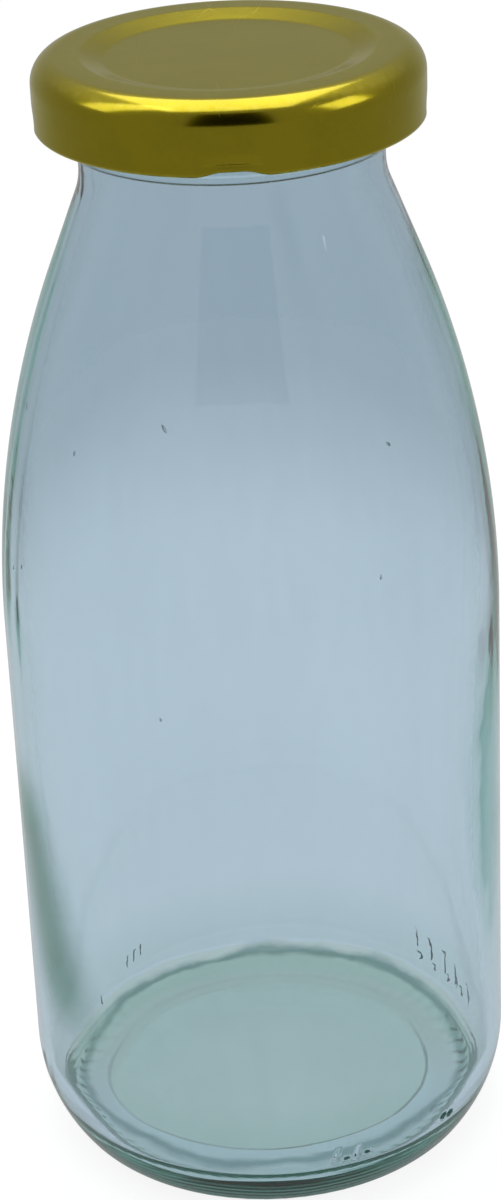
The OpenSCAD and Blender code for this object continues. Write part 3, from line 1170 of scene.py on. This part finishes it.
def inside_material(s):
    """The thinner, duller lacquer inside the cap."""
    material, tree, out, place = new_material("inside_lacquer")
    mottle = mottled(tree, place, s.inside, 0.8, 220.0, 0.7)
    hair = use_group(tree, scratch_group(), Place=place, Scale=110.0, Width=0.008, Cover=0.6)
    rough = total(tree, product(tree, hair.outputs["Mask"], 0.2), s.inside_rough)
    lacquer = add(
        tree,
        "ShaderNodeBsdfPrincipled",
        {
            "Base Color": mottle["Colour"],
            "Metallic": 0.75,
            "Roughness": rough,
            "Coat Weight": 0.3,
            "Coat Roughness": 0.25,
            "Normal": raised(tree, uneven(tree, place, 300.0, 0.4), 0.3, 0.0001),
        },
    )
    tree.links.new(lacquer.outputs[0], out.inputs["Surface"])
    return material


class MILKBOTTLE_OT_cap(bpy.types.Operator):
    """Press the tinplate cap, with its stepped panel, rolled edge and lugs"""

    bl_idname = "milkbottle.cap"
    bl_label = "Make the Cap"
    bl_options = {"REGISTER", "UNDO"}

    def execute(self, context):
        s = Sizes(context.scene.milk_bottle_cap)
        path = cap_path(s)
        panel_z = s.cap_top - s.panel_drop
        share = [0.25, 0.25, 0.5, 0.5] + [1] * (len(path) - 4)
        outside = [(r, z, w, "outside") for (r, z, _, _), w in zip(path, share)]
        inside = [
            (r - out_r * s.tin, z - out_z * s.tin, w, "inside")
            for (r, z, out_r, out_z), w in zip(path, share)
        ]
        rows = [(0, panel_z - s.tin, 1, "inside"), *inside]
        rows += [*outside[::-1], (0, panel_z, 1, "outside")]
        points, faces, tags = lathe(rows, 360, cap_shape(s))
        slots = [int(tag == "inside") for tag in tags]
        cap = make_object(
            "lug_cap",
            points,
            faces,
            [gold_material(s), inside_material(s)],
            slots,
            {"worn": worn_field(s, points)},
        )
        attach(cap, "cap")
        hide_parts("cap_shell")
        return {"FINISHED"}


# ---------------------------------------------------------------- seal


# The ring's section as millimetres (from the axis, above the sealing land). It starts with
# the lip, which is given from the ring's bore, and the last points are given from its top.
SEAL_LIP = ((-0.45, -0.16), (-0.28, -0.26), (-0.12, -0.20), (0.0, -0.04), (0.2, 0.0))
SEAL_SEAT = ((17.5, 0.0), (19.2, 0.0), (19.62, 0.0), (19.78, -0.12))
# Beside the glass: (from the axis, share of the bulge)
SEAL_BULGE = ((19.95, 0.8), (20.4, 1.0), (21.2, 0.96), (21.9, 0.9), (22.15, 1.0))
SEAL_TOP = (
    (22.05, -1.63),
    (21.5, -0.93),
    (20.7, -0.42),
    (19.9, -0.14),
    (18.8, -0.04),
    (17.4, -0.03),
    (16.6, -0.18),
    (15.9, -0.39),
    (15.2, -0.60),
)


def seal_section(s):
    """A closed loop round the ring's section, with the seat that the glass has pressed."""
    top, low, bore_r = SEAL_HIGH.z / MM, SEAL_LOW.z / MM, s.bore_d / 2
    loop = [(bore_r + r, low + z) for r, z in SEAL_LIP]
    loop += [(r, low + z) for r, z in SEAL_SEAT]
    loop += [(r, low - s.bulge * share) for r, share in SEAL_BULGE]
    loop += [(r, top + z) for r, z in SEAL_TOP]
    return loop


def soften(loop, steps):
    """A closed loop with each of its sides cut into steps."""
    out = []
    for (ar, az), (br, bz) in zip(loop, loop[1:] + loop[:1]):
        out += [(ar + (br - ar) * i / steps, az + (bz - az) * i / steps) for i in range(steps)]
    return out


def compound_material(s):
    """Soft pale compound, a little uneven where it flowed."""
    material, tree, out, place = new_material("sealing_compound")
    mottle = mottled(tree, place, s.compound, 0.9, 300.0, 0.6)
    soft = add(
        tree,
        "ShaderNodeBsdfPrincipled",
        {
            "Base Color": mottle["Colour"],
            "Roughness": total(tree, product(tree, mottle["Mask"], 0.12), 0.42),
            "Normal": raised(tree, uneven(tree, place, 500.0, 0.5), 0.4, 0.0001),
        },
    )
    tree.links.new(soft.outputs[0], out.inputs["Surface"])
    return material


class MILKBOTTLE_OT_seal(bpy.types.Operator):
    """Lay the ring of sealing compound in the cap's channel"""

    bl_idname = "milkbottle.seal"
    bl_label = "Make the Seal"
    bl_options = {"REGISTER", "UNDO"}

    def execute(self, context):
        s = Sizes(context.scene.milk_bottle_seal)
        seat_z = SEAL_LOW.z / MM

        def shape(r, z, angle, tag):
            hang = float(1 - smooth(z[0], seat_z - 0.05, seat_z))
            return r, z - 0.02 * hang * (waves(angle * 3, z * 9, 0.4) - 1)

        rows = [(r, z, 1, "ring") for r, z in soften(seal_section(s), 3)]
        points, faces, _ = lathe(rows, 240, shape, closed=True)
        seal = make_object("sealing_ring", points, faces, [compound_material(s)])
        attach(seal, "liner")
        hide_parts("cap_liner")
        return {"FINISHED"}


# ---------------------------------------------------------------- stage


WHITE = (1.0, 1.0, 1.0)
FLOOR_IN_METAL = (0.45, 0.45, 0.45)  # the floor as metal and gloss show it
FLOOR_GLOW = 0.8  # share of its own colour where the floor is seen
CAMERA_LIFT = 0.1  # brings the part-lit floor back up to white


def floor_material(s):
    """Pale to the camera and through glass, and still darker where the object shades it."""
    material, tree, out, place = new_material("pale_floor")
    path = add(tree, "ShaderNodeLightPath").outputs
    matt = add(tree, "ShaderNodeBsdfDiffuse", {"Color": (*s.floor_tone, 1)}).outputs[0]
    far = add(tree, "ShaderNodeVectorMath", {0: place}, operation="LENGTH").outputs["Value"]
    edge = step_between(tree, far, s.pale_r * MM, s.floor_r * MM * 0.93)
    through = mix_colours(tree, edge, WHITE, s.room_tone)
    tone = mix_colours(tree, path["Is Transmission Ray"], FLOOR_IN_METAL, through)
    tone = mix_colours(tree, path["Is Camera Ray"], tone, WHITE)
    bright = total(tree, 1.0, product(tree, path["Is Camera Ray"], CAMERA_LIFT))
    glow = add(tree, "ShaderNodeEmission", {"Color": tone, "Strength": bright}).outputs[0]
    seen = maths(tree, "MAXIMUM", path["Is Camera Ray"], path["Is Transmission Ray"])
    seen = maths(tree, "MAXIMUM", seen, path["Is Glossy Ray"])
    share = product(tree, seen, FLOOR_GLOW)
    both = add(tree, "ShaderNodeMixShader", {0: share, 1: matt, 2: glow}).outputs[0]
    tree.links.new(both, out.inputs["Surface"])
    return material


def card_material(tone):
    """Plain dark card, seen only as a reflection."""
    material, tree, out, _ = new_material("dark_card")
    glow = add(tree, "ShaderNodeEmission", {"Color": (*tone, 1), "Strength": 1.0}).outputs[0]
    tree.links.new(glow, out.inputs["Surface"])
    return material


ROOM_IN_METAL = (0.47, 0.47, 0.47)  # the room as metal shows it
BACK_WALL = (1.1, 1.1, 1.1)  # and its bright part, high up behind the bottle


def studio_world(s):
    """White behind the object, a soft room for metal and for what the lamps leave."""
    world = bpy.data.worlds.new("studio")
    world.use_nodes = True
    tree = world.node_tree
    tree.nodes.clear()
    out = tree.nodes.new("ShaderNodeOutputWorld")
    path = add(tree, "ShaderNodeLightPath").outputs
    way = add(
        tree,
        "ShaderNodeSeparateXYZ",
        {0: tree.nodes.new("ShaderNodeTexCoord").outputs["Generated"]},
    ).outputs
    rise = step_between(tree, way["Z"], 0.3, 0.9)
    behind = step_between(tree, way["Y"], -0.2, 0.35)
    room = mix_colours(tree, product(tree, rise, behind), ROOM_IN_METAL, BACK_WALL)
    tone = mix_colours(tree, path["Is Transmission Ray"], room, s.room_tone)
    tone = mix_colours(tree, path["Is Camera Ray"], tone, WHITE)
    glow = add(tree, "ShaderNodeBackground", {"Color": tone, "Strength": 1.0})
    tree.links.new(glow.outputs[0], out.inputs["Surface"])
    return world


# Softboxes: (name, centre, size, where it looks, radiance), with lengths in millimetres
SOFTBOXES = (
    ("overhead_softbox", (-2, 36, 292), (156, 210), (-2, 36, 0), 2.75),
    ("left_softbox", (-517, -20, 680), (250, 600), (0, -20, 140), 2.6),
    ("right_softbox", (600, -170, 490), (300, 330), (0, -60, 140), 2.8),
)
# The dark card over the camera: half its width, how far forward, from and up to which height
CARD_HALF, CARD_Y, CARD_LOW, CARD_HIGH = 150, -345, 180, 700
CARD_TONE = (0.008, 0.008, 0.008)
FLOOR_Z = -0.2  # the floor lies this far under the base
BOUNCES = 24  # light crosses up to eight walls of glass and comes back


class MILKBOTTLE_OT_stage(bpy.types.Operator):
    """Lay the floor, hang the softboxes and place the camera"""

    bl_idname = "milkbottle.stage"
    bl_label = "Set the Stage"
    bl_options = {"REGISTER", "UNDO"}

    def execute(self, context):
        s = Sizes(context.scene.milk_bottle_stage)
        scene = context.scene
        scene.world = studio_world(s)
        scene.view_settings.view_transform = "Standard"
        for kind in ("max", "glossy", "transmission"):
            setattr(scene.cycles, f"{kind}_bounces", BOUNCES)
        self.floor(s)
        self.card()
        for softbox in SOFTBOXES:
            self.softbox(*softbox)
        self.camera(scene, s)
        return {"FINISHED"}

    def floor(self, s):
        rings = [(r, FLOOR_Z, 1, "floor") for r in (0, *np.linspace(20, s.floor_r, 12))]
        points, faces, _ = lathe(rings, 96)
        floor = make_object("floor", points, faces, [floor_material(s)])

    def card(self):
        corners = ((-1, CARD_LOW), (1, CARD_LOW), (1, CARD_HIGH), (-1, CARD_HIGH))
        points = [(side * CARD_HALF, CARD_Y, z) for side, z in corners]
        card = make_object("dark_card", points, [(0, 1, 2, 3)], [card_material(CARD_TONE)])
        card.visible_camera = card.visible_diffuse = False
        card.visible_transmission = card.visible_shadow = False

    def softbox(self, name, centre, size, target, radiance):
        lamp = bpy.data.lights.new(name, "AREA")
        lamp.shape, lamp.size, lamp.size_y = "RECTANGLE", size[0] * MM, size[1] * MM
        lamp.energy = radiance * math.pi * lamp.size * lamp.size_y
        obj = bpy.data.objects.new(name, lamp)
        centre = Vector(centre) * MM
        turned = (centre - Vector(target) * MM).to_track_quat("Z", "Y")
        obj.matrix_world = Matrix.Translation(centre) @ turned.to_matrix().to_4x4()
        obj.visible_camera = obj.visible_transmission = False
        bpy.context.scene.collection.objects.link(obj)

    def camera(self, scene, s):
        lens = bpy.data.cameras.new("camera")
        lens.sensor_fit, lens.sensor_width, lens.lens = "AUTO", 36.0, s.camera_lens
        lens.clip_start, lens.clip_end = 0.01, 10.0
        camera = bpy.data.objects.new("camera", lens)
        pitch, roll = math.radians(s.camera_pitch), math.radians(s.camera_roll)
        ahead = Vector((0, math.cos(pitch), -math.sin(pitch)))
        level = Vector((1, 0, 0))
        upright = level.cross(ahead)
        right = math.cos(roll) * level + math.sin(roll) * upright
        up = math.cos(roll) * upright - math.sin(roll) * level
        turned = Matrix((right, up, -ahead)).transposed().to_4x4()
        place = Vector((0, -s.camera_back, s.camera_height)) * MM
        camera.matrix_world = Matrix.Translation(place) @ turned
        scene.collection.objects.link(camera)
        scene.camera = camera


class MILKBOTTLE_PT_panel(bpy.types.Panel):
    """The bottle's makers, in the order they run"""

    bl_idname = "MILKBOTTLE_PT_panel"
    bl_label = "Milk Bottle"
    bl_space_type = "VIEW_3D"
    bl_region_type = "UI"
    bl_category = "Milk Bottle"

    def draw(self, context):
        for operator in OPERATORS:
            self.layout.operator(operator.bl_idname)
        for key in GROUPS:
            box = self.layout.box()
            group = getattr(context.scene, key)
            for name in group.bl_rna.properties.keys():
                if name not in ("rna_type", "name"):
                    box.prop(group, name)


OPERATORS = (MILKBOTTLE_OT_glass, MILKBOTTLE_OT_seal, MILKBOTTLE_OT_cap, MILKBOTTLE_OT_stage)


def register():
    for cls in (*GROUPS.values(), *OPERATORS, MILKBOTTLE_PT_panel):
        bpy.utils.register_class(cls)
    for key, cls in GROUPS.items():
        setattr(bpy.types.Scene, key, PointerProperty(type=cls))


def unregister():
    for key in GROUPS:
        delattr(bpy.types.Scene, key)
    for cls in (MILKBOTTLE_PT_panel, *reversed(OPERATORS), *reversed(GROUPS.values())):
        bpy.utils.unregister_class(cls)


def main():
    register()
    bpy.ops.milkbottle.glass()
    bpy.ops.milkbottle.seal()
    bpy.ops.milkbottle.cap()
    bpy.ops.milkbottle.stage()


if __name__ == "__main__":
    main()
